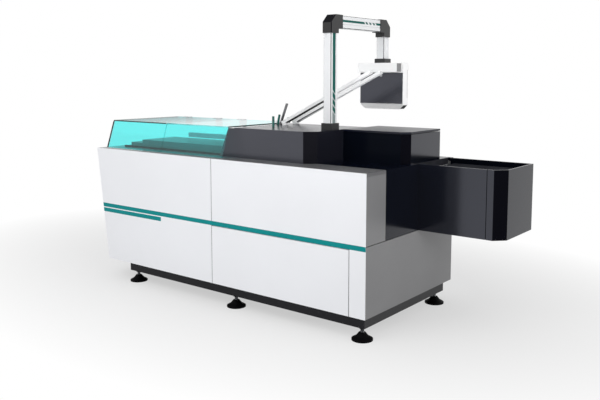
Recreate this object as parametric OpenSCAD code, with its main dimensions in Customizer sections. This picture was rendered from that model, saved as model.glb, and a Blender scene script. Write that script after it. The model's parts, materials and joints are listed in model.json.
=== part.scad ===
// Automatic cartoner: a panelled cabinet on levelling feet, with a hinged glass
// guard over the carton track, dark drive housings, an open infeed trough, an
// inclined carton magazine and a control panel hung from a gallows arm.
// X runs along the machine, measured here from the cabinet's right end.
// Y runs from the front face to the back, and Z up from the underside of the panels.

/* [Cabinet] */
// Length of the cabinet along its top edge
cab_l = 2320; // [2100:10:2600]
// Depth of the cabinet from front face to rear face
cab_w = 1020; // [960:10:1150]
// Height of the cabinet's panels
cab_h = 800; // [700:10:900]
// Inward lean of the left end from top to bottom
left_lean = 107; // [20:1:150]
// Thickness of the folded sheet panels
panel_t = 20; // [14:1:28]
// Thickness of the panel lip that hides the deck's edge
lip_t = 3; // [2:0.5:5]
// Width of the seams between panels
seam = 4; // [2:0.5:6]
// Distance of the middle seam from the right end
mid_seam = 1160; // [1000:10:1300]
// Width of the corner strip beside the front door
corner_w = 107; // [70:1:160]
// Clearance between pieces that meet along a slanted line
fit_gap = 0.3; // [0.2:0.05:0.5]

/* [Stripes] */
// Height of the long stripe's lower edge
stripe_z = 376; // [320:1:420]
// Height of each stripe
stripe_h = 28; // [16:1:40]
// Bare gap between the two stripes
stripe_gap = 7; // [4:1:16]
// Depth of the stripe inlay
stripe_t = 2; // [1:0.5:4]
// Distance of the short stripe's right end from the cabinet's right end
short_stripe_x = 1641; // [1400:10:1900]

/* [Base] */
// Height of the plinth
plinth_h = 52; // [40:1:80]
// Inset of the plinth from the bottom of the left end
plinth_inset_l = 232; // [120:1:300]
// Inset of the plinth from the rear face
plinth_inset_r = 96; // [40:1:140]
// Recess of the plinth behind the front face and the right end
plinth_recess = 6; // [0:1:20]
// Height of the levelling feet below the plinth
foot_h = 78; // [60:1:110]
// Diameter of a foot's pad
foot_d = 120; // [90:1:140]
// Height of the straight rim of a foot's pad
pad_rim = 9; // [6:1:14]
// Height at which the pad's cone meets the hub's cone
pad_rise = 23; // [16:1:30]
// Diameter at which the pad's cone meets the hub's cone
pad_neck_d = 72; // [56:1:84]
// Height of the hub's top above the floor
hub_top = 43; // [34:1:56]
// Diameter of the hub's top
hub_d = 40; // [32:1:50]
// Diameter of a foot's threaded stem
stem_d = 20; // [14:1:26]
// Height of the lock nut under the plinth
nut_h = 14; // [10:1:16]
// Width of the lock nut across its corners
nut_w = 36; // [30:1:44]
// Distance of the feet from the plinth's edges
foot_inset = 40; // [30:1:70]
// Thickness of the cabinet's bottom plate
bottom_t = 15; // [8:1:24]

/* [Deck] */
// Thickness of the deck plates
deck_t = 20; // [12:1:26]
// Depth of the pale strip along the front of the deck
strip_w = 200; // [170:1:215]

/* [Drive housings] */
// Height of the main housing above the deck
housing_h = 190; // [170:1:193]
// Setback of the main housing's front face
housing_y = 142; // [130:1:160]
// Distance of the main housing's right end from the cabinet's right end
housing_x = 470; // [440:1:520]
// Depth of the main housing's back face from the cabinet's front
housing_back = 715; // [680:1:760]
// Chamfer of the main housing's corner along X
housing_cham_x = 65; // [40:1:90]
// Chamfer of the main housing's corner along Y
housing_cham_y = 53; // [30:1:70]
// Setback of the rear housing's front face
rear_y = 463; // [440:1:500]
// Depth of the rear housing
rear_w = 405; // [360:1:430]
// Distance of the rear housing's right face from the cabinet's right end
rear_x = 20; // [10:1:60]
// Chamfer of the rear housing's front corner
rear_cham = 45; // [20:1:60]
// Thickness of the rear housing's lid
lid_t = 12; // [8:1:20]
// Height of the shadow gap under the lid
lid_gap = 3; // [1:0.5:6]

/* [Infeed] */
// Reach of the infeed trough beyond the cabinet's right end
infeed_l = 530; // [450:10:700]
// Distance of the trough's rear wall from the cabinet's rear face
infeed_inset = 30; // [20:1:60]
// Depth of the trough from front wall to rear wall
infeed_w = 430; // [380:1:430]
// Chamfer of the trough's near corner
infeed_cham = 60; // [30:1:90]
// Thickness of the trough's walls
infeed_t = 10; // [6:1:20]
// Length of the corner cap along the front wall, chamfer included
infeed_cap = 98; // [95:1:140]
// Depth of the belt below the trough's rim
belt_drop = 32; // [24:1:60]
// Thickness of the belt
belt_t = 8; // [5:1:12]
// Diameter of the belt's end rollers
belt_roll_d = 60; // [40:1:80]
// Gap between the belt and the trough's walls
belt_side = 12; // [6:1:20]

/* [Glass guard] */
// Thickness of the guard's panes
glass_t = 8; // [6:0.5:12]
// Height of the guard's top above the deck
guard_h = 200; // [196:1:215]
// Setback of the front pane's foot
guard_foot_y = 30; // [20:1:45]
// Setback of the front pane's top
guard_top_y = 92; // [75:1:110]
// Depth of the guard's rear edge from the cabinet's front
guard_back = 712; // [680:1:740]
// Distance of the guard's left end from the cabinet's top left corner
guard_inset = 80; // [50:1:120]
// Distance of the guard's right end from the cabinet's right end
guard_right = 1094; // [1092:1:1120]
// Distance of the split between the guard's halves from the right end
guard_split = 1670; // [1560:10:1760]
// Running gap around the moving panes
guard_gap = 6; // [5:0.5:9]
// Thickness of the dark end plate beside the guard and of its cheek
end_plate_t = 12; // [8:1:16]
// Reach of the cheek under the guard, at the deck
cheek_foot = 128; // [100:1:150]
// Reach of the cheek under the guard, at its top
cheek_top = 47; // [30:1:60]
// Radius of the hinge pins
hinge_pin_r = 3; // [2.5:0.5:5]
// Wall of the hinge knuckles around the pins
hinge_wall = 2.5; // [2:0.5:5]
// Radial play between hinge pin and knuckle
hinge_play = 0.3; // [0.2:0.05:0.4]
// Width of a hinge knuckle
hinge_w = 50; // [36:1:70]
// Thickness of the ears and leaves of a hinge
hinge_t = 3; // [2:0.5:5]
// Reach of a hinge leaf over the top pane
leaf_l = 34; // [26:1:50]
// Height of a hinge's foot on the rear pane
hinge_foot_h = 40; // [30:1:60]
// Distance of a hinge from the ends of its guard half
hinge_end = 120; // [90:1:180]

/* [Carton track] */
// Setback of the track's front side
track_y = 225; // [216:1:260]
// Depth of the track
track_w = 320; // [260:1:380]
// Height of the lower bed
track_bed_h = 32; // [20:1:45]
// Height of the upper slab on the bed
track_slab_h = 24; // [16:1:36]
// How much further left the bed reaches than the slab
track_step = 125; // [60:1:200]
// Gap between the track and the guard's left end pane
track_end_gap = 20; // [12:1:60]
// Length of the pusher bar
bar_l = 660; // [500:10:760]
// Height of the pusher bar's section
bar_h = 30; // [20:1:40]
// Depth of the pusher bar's section
bar_w = 40; // [24:1:60]
// Height of the pusher bar's underside above the deck
bar_z = 84; // [70:1:100]

/* [Carton magazine] */
// Setback of the near rail
rail_y = 551; // [530:1:565]
// Distance between the two rails
rail_pitch = 116; // [110:1:130]
// Distance of the rails' lower ends from the cabinet's right end
rail_x = 1020; // [990:1:1020]
// Length of the rails along their slope
rail_l = 772; // [650:1:800]
// Slope of the rails in degrees
rail_slope = 25.9; // [20:0.1:30]
// Height of a rail's section
rail_h = 20; // [16:1:28]
// Width of a rail's section
rail_w = 32; // [24:1:44]
// Wall of the rail's channel section
rail_wall = 4; // [3:0.5:5]
// Height of the rails' shoes above the housing at their lower ends
seat_h = 4; // [3:0.5:8]
// Length of the rails' shoes along X
seat_l = 30; // [24:1:40]
// Diameter of the guide pins
pin_d = 12; // [8:1:14]
// Height of the guide pins
pin_h = 66; // [50:1:90]
// Place of the front pin to the right of the near rail's lower end
front_pin_x = 61; // [40:1:80]
// Place of the front pin ahead of the near rail
front_pin_y = 179; // [150:1:200]
// Place of the rear pin to the left of the near rail's lower end
rear_pin_x = 55; // [40:1:58]
// Place of the rear pin behind the near rail
rear_pin_y = 4; // [0:1:12]
// Lean of the rear pin in degrees
rear_pin_lean = 14; // [0:1:20]
// Height of the pick lever
lever_h = 153; // [120:1:180]
// Place of the levers to the left of the near rail's lower end
lever_x = 58; // [44:1:60]
// Place of the pick lever behind the near rail
lever_y = 37; // [30:1:38]
// Place of the short lever behind the near rail
finger_y = 57; // [56:1:70]
// Lean of the pick lever in degrees
lever_lean = 22.5; // [8:0.5:26]
// Width of the levers
lever_w = 16; // [10:1:22]
// Thickness of the levers
lever_t = 10; // [6:1:14]
// Height of the short lever
finger_h = 75; // [50:1:85]
// Lean of the short lever in degrees
finger_lean = 52; // [30:1:55]

/* [Gallows arm] */
// Distance of the arm's axis from the cabinet's right end
arm_x = 517; // [510:1:560]
// Setback of the post's axis
arm_y = 388; // [360:1:410]
// Width of the square post along X
post_w = 56; // [46:1:62]
// Depth of the square post along Y
post_d = 66; // [54:1:70]
// Chamfer of the corners of the post and the beam
arm_cham = 3; // [2:0.5:6]
// Width of the groove in the posts
groove_w = 30; // [20:1:36]
// Depth of the grooves in the posts and the beam
groove_t = 3; // [2:0.5:5]
// Width of the beam's upper groove
beam_groove_w = 14; // [10:1:18]
// Height of the upper groove's middle above the beam's middle
beam_groove_z = 7; // [4:1:12]
// Width of the beam's lower groove
beam_line_w = 4; // [3:0.5:6]
// Depth of the lower groove's middle below the beam's middle
beam_line_z = 13; // [11:1:18]
// Side of the post's base block and of the flange over the panel
base_w = 78; // [66:1:90]
// Height of the post's base block
base_h = 40; // [25:1:60]
// Height of the post's top above the housing
post_h = 583; // [500:1:700]
// Wall of the elbows around the post
elbow_wall = 6; // [4:1:10]
// Height of the elbows
elbow_h = 112; // [100:1:130]
// Reach of an elbow from its outer side along the beam
elbow_l = 120; // [105:1:150]
// Bevel of an elbow's outer corner
elbow_bevel = 50; // [30:1:60]
// Chamfer of an elbow's outer upright edges
elbow_cham = 4; // [2:0.5:8]
// Step under an elbow's beam socket
elbow_step = 28; // [20:1:32]
// Height of the beam's section
beam_h = 76; // [60:1:80]
// Distance between the post's axis and the drop post's axis
arm_reach = 598; // [560:1:660]
// Length of the drop post below its elbow
drop_l = 142; // [110:1:200]
// Thickness of the flange over the panel
flange_t = 28; // [18:1:34]

/* [Control panel] */
// Width of the panel's case
case_w = 330; // [280:1:380]
// Depth of the panel's case
case_d = 70; // [55:1:90]
// Height of the panel's case
case_h = 306; // [270:1:340]
// Distance of the case's front side ahead of the swivel axis
case_front = 14; // [12:1:25]
// Width of the panel's head box
head_w = 300; // [240:1:330]
// Depth of the panel's head box
head_d = 57; // [40:1:70]
// Height of the panel's head box
head_h = 61; // [40:1:80]
// Height of the dark back cover
cover_h = 203; // [160:1:220]
// Gap between the head box and the back cover
cover_gap = 4; // [2:1:10]
// Thickness of the back cover
cover_t = 3; // [2:0.5:5]
// Chamfer of the case's lower side corners
case_cham = 30; // [15:1:40]
// Height of the chamfer along the case's lower front edge
case_under = 36; // [20:1:50]
// Depth of the chamfer along the case's lower front edge
case_under_d = 14; // [8:1:24]
// Width of the screen
screen_w = 270; // [200:1:290]
// Height of the screen
screen_h = 205; // [150:1:220]
// Thickness of the screen plate
screen_t = 4; // [3:0.5:6]
// Depth of the screen's seat in the case
screen_seat = 2.5; // [1.5:0.5:3]
// Radius of the swivel pin
swivel_r = 9; // [6:0.5:11]
// Radial play of the swivel pin
swivel_play = 0.3; // [0.2:0.05:0.4]
// Wall left in the flange over the swivel pin
swivel_web = 6; // [4:0.5:9]
// Gap between the flange and the case
swivel_gap = 0.6; // [0.3:0.1:0.9]

/* [Hidden] */
$fn = 64;
// A little extra length for cuts that pass through a face
eps = 1;

// The machine's box, with the origin at the middle of its underside
axis_y = arm_y + arm_reach;
screen_y = axis_y - case_front + case_d + screen_t - screen_seat;
foot_over = max(0, foot_d / 2 - foot_inset - plinth_recess);
total_w = max(cab_w, screen_y) + foot_over;
end_x = (cab_l - infeed_l) / 2;
front_y = foot_over - total_w / 2;
base_z = foot_h + plinth_h;

// Levels and lines shared by several pieces
deck_z = cab_h;
housing_top = deck_z + housing_h;
plate_x = -guard_right + guard_gap;
guard_left = -cab_l + guard_inset;
guard_under = deck_z + guard_h - glass_t;
guard_foot_z = deck_z + guard_gap;
guard_lean = atan((guard_top_y - guard_foot_y) / (guard_under - guard_foot_z));
glass_y = glass_t / cos(guard_lean);
rear_pane_y = guard_back - glass_t;
rear_pane_top = guard_under - guard_gap;
hinge_r = hinge_pin_r + hinge_play + hinge_wall;
hinge_y = guard_back + hinge_r + guard_gap;
hinge_z = guard_under + glass_t / 2;
end_seam_z = stripe_z + stripe_h;
infeed_back = cab_w - infeed_inset;
infeed_y = infeed_back - infeed_w;
infeed_inner_cham = infeed_cham - infeed_t * (2 - sqrt(2));
infeed_bed_x = infeed_l - infeed_t - fit_gap;
belt_x = infeed_l - infeed_t - infeed_inner_cham;
belt_z = deck_z - belt_drop;
plinth_x = -cab_l + left_lean + plinth_inset_l;
plinth_back = cab_w - plinth_inset_r;
feet_x = [plinth_x + foot_inset, (plinth_x - plinth_recess) / 2, -plinth_recess - foot_inset];
elbow_z = housing_top + post_h;
beam_z = elbow_z + elbow_step + (elbow_h - elbow_step - beam_h) / 2;
elbow_out = post_d / 2 + elbow_wall;
drop_z = elbow_z - drop_l;
flange_z = drop_z - flange_t;
case_top = flange_z - swivel_gap;
case_y = axis_y - case_front;
track_x = guard_left + glass_t + track_end_gap;

// Guard halves, each from its left end to its right end, with their hinges
guard_l0 = guard_left;
guard_l1 = -guard_split - guard_gap / 2;
guard_r0 = -guard_split + guard_gap / 2;
guard_r1 = -guard_right;
hinges_left = [guard_l0 + hinge_end, guard_l1 - hinge_end];
hinges_right = [guard_r0 + hinge_end, guard_r1 - hinge_end];

// Colours of the finishes
white = [0.90, 0.91, 0.93];
teal = [0.03, 0.50, 0.47];
slate = [0.30, 0.30, 0.33];
black = [0.09, 0.09, 0.11];
grey = [0.50, 0.50, 0.52];
dark = [0.20, 0.20, 0.22];
glass = [0.40, 0.93, 0.92, 0.5];
steel = [0.72, 0.73, 0.75];

// Moves the cabinet's own coordinates to the origin under the machine's middle
module machine() {
    translate([end_x, front_y, base_z]) children();
}

// A box between two corners
module block(low, high) {
    translate(low) cube(high - low);
}

// A profile drawn in Y and Z, drawn out along X from x0 to x1
module along_x(x0, x1) {
    translate([x0, 0, 0]) rotate([90, 0, 90]) linear_extrude(x1 - x0) children();
}

// A profile drawn in X and Z, drawn out along Y from y0 to y1
module along_y(y0, y1) {
    translate([0, y1, 0]) rotate([90, 0, 0]) linear_extrude(y1 - y0) children();
}

// The left end's line at a given height
function left_x(z) = -cab_l + left_lean * (cab_h - z) / cab_h;

// A wall seen from the front whose left edge follows the leaning end
module leaning_wall(x1, z0, z1, inset = 0) {
    polygon([[left_x(z0) + inset, z0], [x1, z0], [x1, z1], [left_x(z1) + inset, z1]]);
}

module plinth() {
    color(dark) machine()
        block([plinth_x, plinth_recess, -plinth_h], [-plinth_recess, plinth_back, 0]);
}

// One levelling foot: domed pad, hub, stem and lock nut, with its top on the plinth
module foot() {
    translate([0, 0, -foot_h]) rotate_extrude() polygon([
        [0, 0], [foot_d / 2, 0], [foot_d / 2, pad_rim],
        [pad_neck_d / 2, pad_rise], [hub_d / 2, hub_top],
        [stem_d / 2, hub_top], [stem_d / 2, foot_h], [0, foot_h]
    ]);
    translate([0, 0, -nut_h]) cylinder(d = nut_w, h = nut_h, $fn = 6);
}

module feet_row(y) {
    color(black) machine()
        for (x = feet_x) translate([x, y, -plinth_h]) foot();
}

module feet_front() {
    feet_row(plinth_recess + foot_inset);
}

module feet_rear() {
    feet_row(plinth_back - foot_inset);
}

module bottom_plate() {
    color(dark) machine()
        along_y(panel_t, cab_w - panel_t) leaning_wall(-panel_t, 0, bottom_t, panel_t + fit_gap);
}

// Groove for a stripe in the front panels
module stripe_cut(x0, x1, z) {
    block([x0, -eps, z], [x1, stripe_t, z + stripe_h]);
}

// Rebates along the top and the right end of a front or rear panel, for the deck and the end panels
module panel_rebates() {
    block([-cab_l, lip_t, deck_z - deck_t], [eps, cab_w - lip_t, deck_z + eps]);
    block([-panel_t, lip_t, -eps], [eps, cab_w - lip_t, deck_z + eps]);
}

module front_panel_left() {
    color(white) machine() difference() {
        along_y(0, panel_t) leaning_wall(-mid_seam - seam / 2, 0, cab_h);
        stripe_cut(-cab_l - eps, -mid_seam, stripe_z);
        stripe_cut(-cab_l - eps, -short_stripe_x, stripe_z - stripe_gap - stripe_h);
        panel_rebates();
    }
}

module front_panel_right() {
    color(white) machine() difference() {
        block([-mid_seam + seam / 2, 0, 0], [0, panel_t, cab_h]);
        block([-mid_seam, -eps, -eps], [-corner_w + seam / 2, panel_t + eps, stripe_z]);
        stripe_cut(-mid_seam, eps, stripe_z);
        panel_rebates();
    }
}

module front_door() {
    color(white) machine()
        block([-mid_seam + seam / 2, 0, 0], [-corner_w - seam / 2, panel_t, stripe_z - seam]);
}

module front_stripe_long() {
    color(teal) machine()
        along_y(0, stripe_t) leaning_wall(0, stripe_z, stripe_z + stripe_h);
}

module front_stripe_short() {
    color(teal) machine()
        along_y(0, stripe_t)
            leaning_wall(-short_stripe_x, stripe_z - stripe_gap - stripe_h, stripe_z - stripe_gap);
}

module left_end_panel() {
    color(white) machine() difference() {
        along_y(panel_t, cab_w - panel_t) polygon([
            [left_x(0), 0], [left_x(0) + panel_t, 0],
            [left_x(cab_h) + panel_t, cab_h], [left_x(cab_h), cab_h]
        ]);
        block([-cab_l + lip_t, 0, deck_z - deck_t], [eps, cab_w, deck_z + eps]);
    }
}

module rear_panels() {
    color(white) machine() difference() {
        along_y(cab_w - panel_t, cab_w) leaning_wall(0, 0, cab_h);
        block([-mid_seam - seam / 2, 0, -eps], [-mid_seam + seam / 2, cab_w + eps, cab_h + eps]);
        panel_rebates();
    }
}

module end_panel_lower() {
    color(grey) machine()
        block([-panel_t, lip_t, 0], [0, cab_w - lip_t, end_seam_z - seam]);
}

module end_columns() {
    color(grey) machine() {
        block([-panel_t, lip_t, end_seam_z], [0, strip_w, cab_h - deck_t]);
        block([-panel_t, infeed_back, end_seam_z], [0, cab_w - lip_t, cab_h - deck_t]);
    }
}

module end_panel_dark() {
    color(black) machine()
        block([-panel_t, strip_w, end_seam_z], [0, infeed_y, cab_h - deck_t]);
}

module deck_strip() {
    color(grey) machine()
        block([-cab_l + lip_t, lip_t, deck_z - deck_t], [0, strip_w, deck_z]);
}

module deck_plate() {
    color(black) machine() difference() {
        block([-cab_l + lip_t, strip_w, deck_z - deck_t], [0, cab_w - lip_t, deck_z]);
        block([-panel_t, infeed_y, deck_z - deck_t - eps], [eps, infeed_back, deck_z + eps]);
    }
}

module main_housing() {
    color(slate) machine()
        translate([0, 0, deck_z]) linear_extrude(housing_h) polygon([
            [plate_x + end_plate_t, housing_y], [-housing_x - housing_cham_x, housing_y],
            [-housing_x, housing_y + housing_cham_y], [-housing_x, housing_back],
            [plate_x + end_plate_t, housing_back]
        ]);
}

// Plate that closes the housing beside the guard, with a slanted cheek in line with the housing's front
module guard_end_plate() {
    plate_end = plate_x + end_plate_t;
    color(slate) machine() {
        block([plate_x, housing_y, deck_z], [plate_end, housing_back, housing_top]);
        along_y(housing_y, housing_y + end_plate_t) polygon([
            [-guard_right - cheek_foot, deck_z], [plate_end, deck_z],
            [plate_end, rear_pane_top], [-guard_right - cheek_top, rear_pane_top]
        ]);
    }
}

module rear_housing_plan() {
    polygon([
        [-housing_x, rear_y], [-rear_x - rear_cham, rear_y], [-rear_x, rear_y + rear_cham],
        [-rear_x, rear_y + rear_w], [-housing_x, rear_y + rear_w]
    ]);
}

module rear_housing() {
    color(black) machine()
        translate([0, 0, deck_z]) linear_extrude(housing_h - lid_t - lid_gap) rear_housing_plan();
}

module rear_housing_lid() {
    color(grey) machine() {
        translate([0, 0, housing_top - lid_t]) linear_extrude(lid_t) rear_housing_plan();
        translate([-housing_x, rear_y + rear_cham, housing_top - lid_t - lid_gap])
            cube([housing_x - rear_x - rear_cham, rear_w - 2 * rear_cham, lid_gap]);
    }
}

module infeed_front_wall() {
    color(black) machine()
        block([0, infeed_y, end_seam_z], [infeed_l - infeed_cap - seam, infeed_y + infeed_t, deck_z]);
}

module infeed_corner_cap() {
    inner = infeed_inner_cham;
    color(black) machine()
        translate([0, 0, end_seam_z]) linear_extrude(deck_z - end_seam_z) polygon([
            [infeed_l - infeed_cap, infeed_y], [infeed_l - infeed_cham, infeed_y],
            [infeed_l, infeed_y + infeed_cham], [infeed_l, infeed_back],
            [infeed_l - infeed_t, infeed_back], [infeed_l - infeed_t, infeed_y + infeed_t + inner],
            [infeed_l - infeed_t - inner, infeed_y + infeed_t],
            [infeed_l - infeed_cap, infeed_y + infeed_t]
        ]);
}

module infeed_rear_wall() {
    color(black) machine()
        block([0, infeed_back - infeed_t, end_seam_z], [infeed_l - infeed_t, infeed_back, deck_z]);
}

// Bed under the belt, with its corner cut to the trough's chamfer
module infeed_bed() {
    roll_z = belt_z - belt_roll_d - 2 * belt_t;
    y0 = infeed_y + infeed_t;
    y1 = infeed_back - infeed_t;
    cut = infeed_inner_cham + fit_gap;
    color(dark) machine()
        translate([0, 0, end_seam_z]) linear_extrude(roll_z - end_seam_z) polygon([
            [-panel_t, y0], [infeed_bed_x - cut, y0], [infeed_bed_x, y0 + cut],
            [infeed_bed_x, y1], [-panel_t, y1]
        ]);
}

// One fixed loop of belt, flat above and below and round at both ends
module infeed_belt() {
    outer = belt_roll_d / 2 + belt_t;
    x0 = outer;
    x1 = belt_x - outer;
    color(black) machine()
        translate([0, 0, belt_z - outer])
            along_y(infeed_y + infeed_t + belt_side, infeed_back - infeed_t - belt_side) {
                translate([x0, 0]) circle(r = outer);
                translate([x1, 0]) circle(r = outer);
                translate([x0, -outer]) square([x1 - x0, 2 * outer]);
            }
}

module track_bed() {
    color(dark) machine()
        block([track_x, track_y, deck_z], [plate_x, track_y + track_w, deck_z + track_bed_h]);
}

module track_slab() {
    color(dark) machine()
        block([track_x + track_step, track_y, deck_z + track_bed_h],
            [plate_x, track_y + track_w, deck_z + track_bed_h + track_slab_h]);
}

module pusher_bar() {
    bar_y = track_y + track_w / 2;
    color(steel) machine()
        block([plate_x - bar_l, bar_y - bar_w / 2, deck_z + bar_z],
            [plate_x, bar_y + bar_w / 2, deck_z + bar_z + bar_h]);
}

module guard_rear_pane() {
    color(glass) machine()
        block([guard_left, rear_pane_y, deck_z], [plate_x, guard_back, rear_pane_top]);
}

// One hinge's foot on the rear pane: a plate, two ears and the pin between them
module hinge_foot() {
    half = hinge_w / 2 + eps;
    foot_z = rear_pane_top - hinge_foot_h;
    block([-half - hinge_t, guard_back, foot_z], [half + hinge_t, guard_back + hinge_t, rear_pane_top]);
    for (x = [-half - hinge_t, half]) {
        block([x, guard_back, foot_z], [x + hinge_t, hinge_y, rear_pane_top]);
        along_x(x, x + hinge_t) {
            translate([hinge_y, hinge_z]) circle(r = hinge_r);
            translate([hinge_y - hinge_r, foot_z]) square([2 * hinge_r, hinge_z - foot_z]);
        }
    }
    along_x(-half - hinge_t, half + hinge_t) translate([hinge_y, hinge_z]) circle(r = hinge_pin_r);
}

// One hinge's moving leaf: a knuckle round the pin and a plate on the top pane
module hinge_leaf() {
    top = guard_under + glass_t;
    difference() {
        union() {
            along_x(-hinge_w / 2, hinge_w / 2) translate([hinge_y, hinge_z]) circle(r = hinge_r);
            block([-hinge_w / 2, guard_back - leaf_l, top], [hinge_w / 2, hinge_y, top + hinge_t]);
        }
        along_x(-hinge_w, hinge_w) translate([hinge_y, hinge_z]) circle(r = hinge_pin_r + hinge_play);
    }
}

module guard_hinge_feet() {
    color(steel) machine()
        for (x = concat(hinges_left, hinges_right)) translate([x, 0, 0]) hinge_foot();
}

module guard_front(x0, x1) {
    color(glass) machine() along_x(x0, x1) polygon([
        [guard_foot_y, guard_foot_z], [guard_foot_y + glass_y, guard_foot_z],
        [guard_top_y + glass_y, guard_under], [guard_top_y, guard_under]
    ]);
}

module guard_top(x0, x1) {
    color(glass) machine()
        block([x0, guard_top_y, guard_under], [x1, guard_back, guard_under + glass_t]);
}

module guard_leaves(places) {
    color(steel) machine()
        for (x = places) translate([x, 0, 0]) hinge_leaf();
}

module guard_left_front() {
    guard_front(guard_l0, guard_l1);
}

module guard_left_top() {
    guard_top(guard_l0, guard_l1);
}

module guard_left_end() {
    color(glass) machine() along_x(guard_l0, guard_l0 + glass_t) polygon([
        [guard_foot_y + glass_y, guard_foot_z], [rear_pane_y - guard_gap, guard_foot_z],
        [rear_pane_y - guard_gap, guard_under], [guard_top_y + glass_y, guard_under]
    ]);
}

module guard_left_hinges() {
    guard_leaves(hinges_left);
}

module guard_right_front() {
    guard_front(guard_r0, guard_r1);
}

module guard_right_top() {
    guard_top(guard_r0, guard_r1);
}

module guard_right_hinges() {
    guard_leaves(hinges_right);
}

// One inclined rail: a channel with its open side down
module magazine_rail(y) {
    color(white) machine()
        translate([-rail_x, y, housing_top + seat_h]) rotate([0, -rail_slope, 0])
            difference() {
                translate([0, -rail_w / 2, 0]) cube([rail_l, rail_w, rail_h]);
                translate([-eps, rail_wall - rail_w / 2, -eps])
                    cube([rail_l + 2 * eps, rail_w - 2 * rail_wall, rail_h - rail_wall + eps]);
            }
}

module magazine_rail_near() {
    magazine_rail(rail_y);
}

module magazine_rail_far() {
    magazine_rail(rail_y + rail_pitch);
}

// Wedge shoes on the housing that carry the rails at their lower ends
module magazine_seat() {
    color(dark) machine()
        for (y = [rail_y, rail_y + rail_pitch])
            along_y(y - rail_w / 2, y + rail_w / 2) polygon([
                [-rail_x, housing_top], [-rail_x + seat_l, housing_top],
                [-rail_x + seat_l, housing_top + seat_h + seat_l * tan(rail_slope)],
                [-rail_x, housing_top + seat_h]
            ]);
}

// A rod of height h at a place given from the near rail's lower end, which leans to the right and is cut
// level at the housing's top, and whose section is the child
module leaning_rod(place, h, lean) {
    translate([place[0] - rail_x, place[1] + rail_y, housing_top]) intersection() {
        rotate([0, lean, 0]) translate([0, 0, -h]) linear_extrude(2 * h) children();
        translate([-h, -h, 0]) cube([2 * h, 2 * h, 2 * h]);
    }
}

module guide_pins() {
    color(teal) machine() {
        leaning_rod([front_pin_x, -front_pin_y], pin_h, 0) circle(d = pin_d);
        leaning_rod([-rear_pin_x, rear_pin_y], pin_h, rear_pin_lean) circle(d = pin_d);
    }
}

module carton_levers() {
    color(steel) machine() {
        leaning_rod([-lever_x, lever_y], lever_h, lever_lean) square([lever_t, lever_w], center = true);
        leaning_rod([-lever_x, finger_y], finger_h, finger_lean) square([lever_t, lever_w], center = true);
    }
}

module arm_base() {
    color(black) machine()
        translate([-arm_x - base_w / 2, arm_y - base_w / 2, housing_top]) cube([base_w, base_w, base_h]);
}

// Section of the arm's profiles: chamfered corners, and in both X faces grooves given as [place, width]
module arm_section(w, d, grooves) {
    difference() {
        polygon([
            [-w / 2, arm_cham - d / 2], [arm_cham - w / 2, -d / 2],
            [w / 2 - arm_cham, -d / 2], [w / 2, arm_cham - d / 2],
            [w / 2, d / 2 - arm_cham], [w / 2 - arm_cham, d / 2],
            [arm_cham - w / 2, d / 2], [-w / 2, d / 2 - arm_cham]
        ]);
        for (g = grooves, side = [-1, 1])
            translate([side * w / 2, g[0]]) square([2 * groove_t, g[1]], center = true);
    }
}

module post_section() {
    arm_section(post_w, post_d, [[0, groove_w]]);
}

module arm_post() {
    color(white) machine()
        translate([-arm_x, arm_y, housing_top + base_h]) linear_extrude(post_h - base_h)
            post_section();
}

// Side view of an elbow, from its outer side along the beam
module elbow_profile() {
    polygon([
        [0, 0], [2 * elbow_out, 0], [2 * elbow_out, elbow_step], [elbow_l, elbow_step],
        [elbow_l, elbow_h], [elbow_bevel, elbow_h], [0, elbow_h - elbow_bevel]
    ]);
}

// An elbow that reaches along Y from its outer side, whose upright edges are chamfered
module arm_elbow() {
    half = post_w / 2 + elbow_wall;
    color(slate) intersection() {
        along_x(-half, half) elbow_profile();
        linear_extrude(elbow_h) polygon([
            [-half, elbow_cham], [elbow_cham - half, 0], [half - elbow_cham, 0], [half, elbow_cham],
            [half, elbow_l], [-half, elbow_l]
        ]);
    }
}

module arm_elbow_near() {
    machine() translate([-arm_x, arm_y - elbow_out, elbow_z]) arm_elbow();
}

module arm_elbow_far() {
    machine() translate([-arm_x, axis_y + elbow_out, elbow_z]) mirror([0, 1, 0]) arm_elbow();
}

module arm_beam() {
    beam_l = arm_reach + 2 * elbow_out - 2 * elbow_l;
    color(white) machine()
        translate([-arm_x, arm_y - elbow_out + elbow_l, beam_z + beam_h / 2])
            rotate([-90, 0, 0]) linear_extrude(beam_l)
                arm_section(post_w, beam_h, [[-beam_groove_z, beam_groove_w], [beam_line_z, beam_line_w]]);
}

module arm_drop_post() {
    color(white) machine()
        translate([-arm_x, axis_y, drop_z]) linear_extrude(drop_l) post_section();
}

module arm_flange() {
    color(black) machine() translate([-arm_x, axis_y, flange_z]) difference() {
        translate([-base_w / 2, -base_w / 2, 0]) cube([base_w, base_w, flange_t]);
        translate([0, 0, -eps]) cylinder(r = swivel_r + swivel_play, h = flange_t - swivel_web + eps);
    }
}

module panel_head() {
    color(white) machine()
        block([-arm_x - head_w / 2, case_y - head_d, case_top - head_h],
            [-arm_x + head_w / 2, case_y, case_top]);
}

module panel_back_cover() {
    cover_top = case_top - head_h - cover_gap;
    color(slate) machine()
        block([-arm_x - case_w / 2, case_y - cover_t, cover_top - cover_h],
            [-arm_x + case_w / 2, case_y, cover_top]);
}

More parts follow.
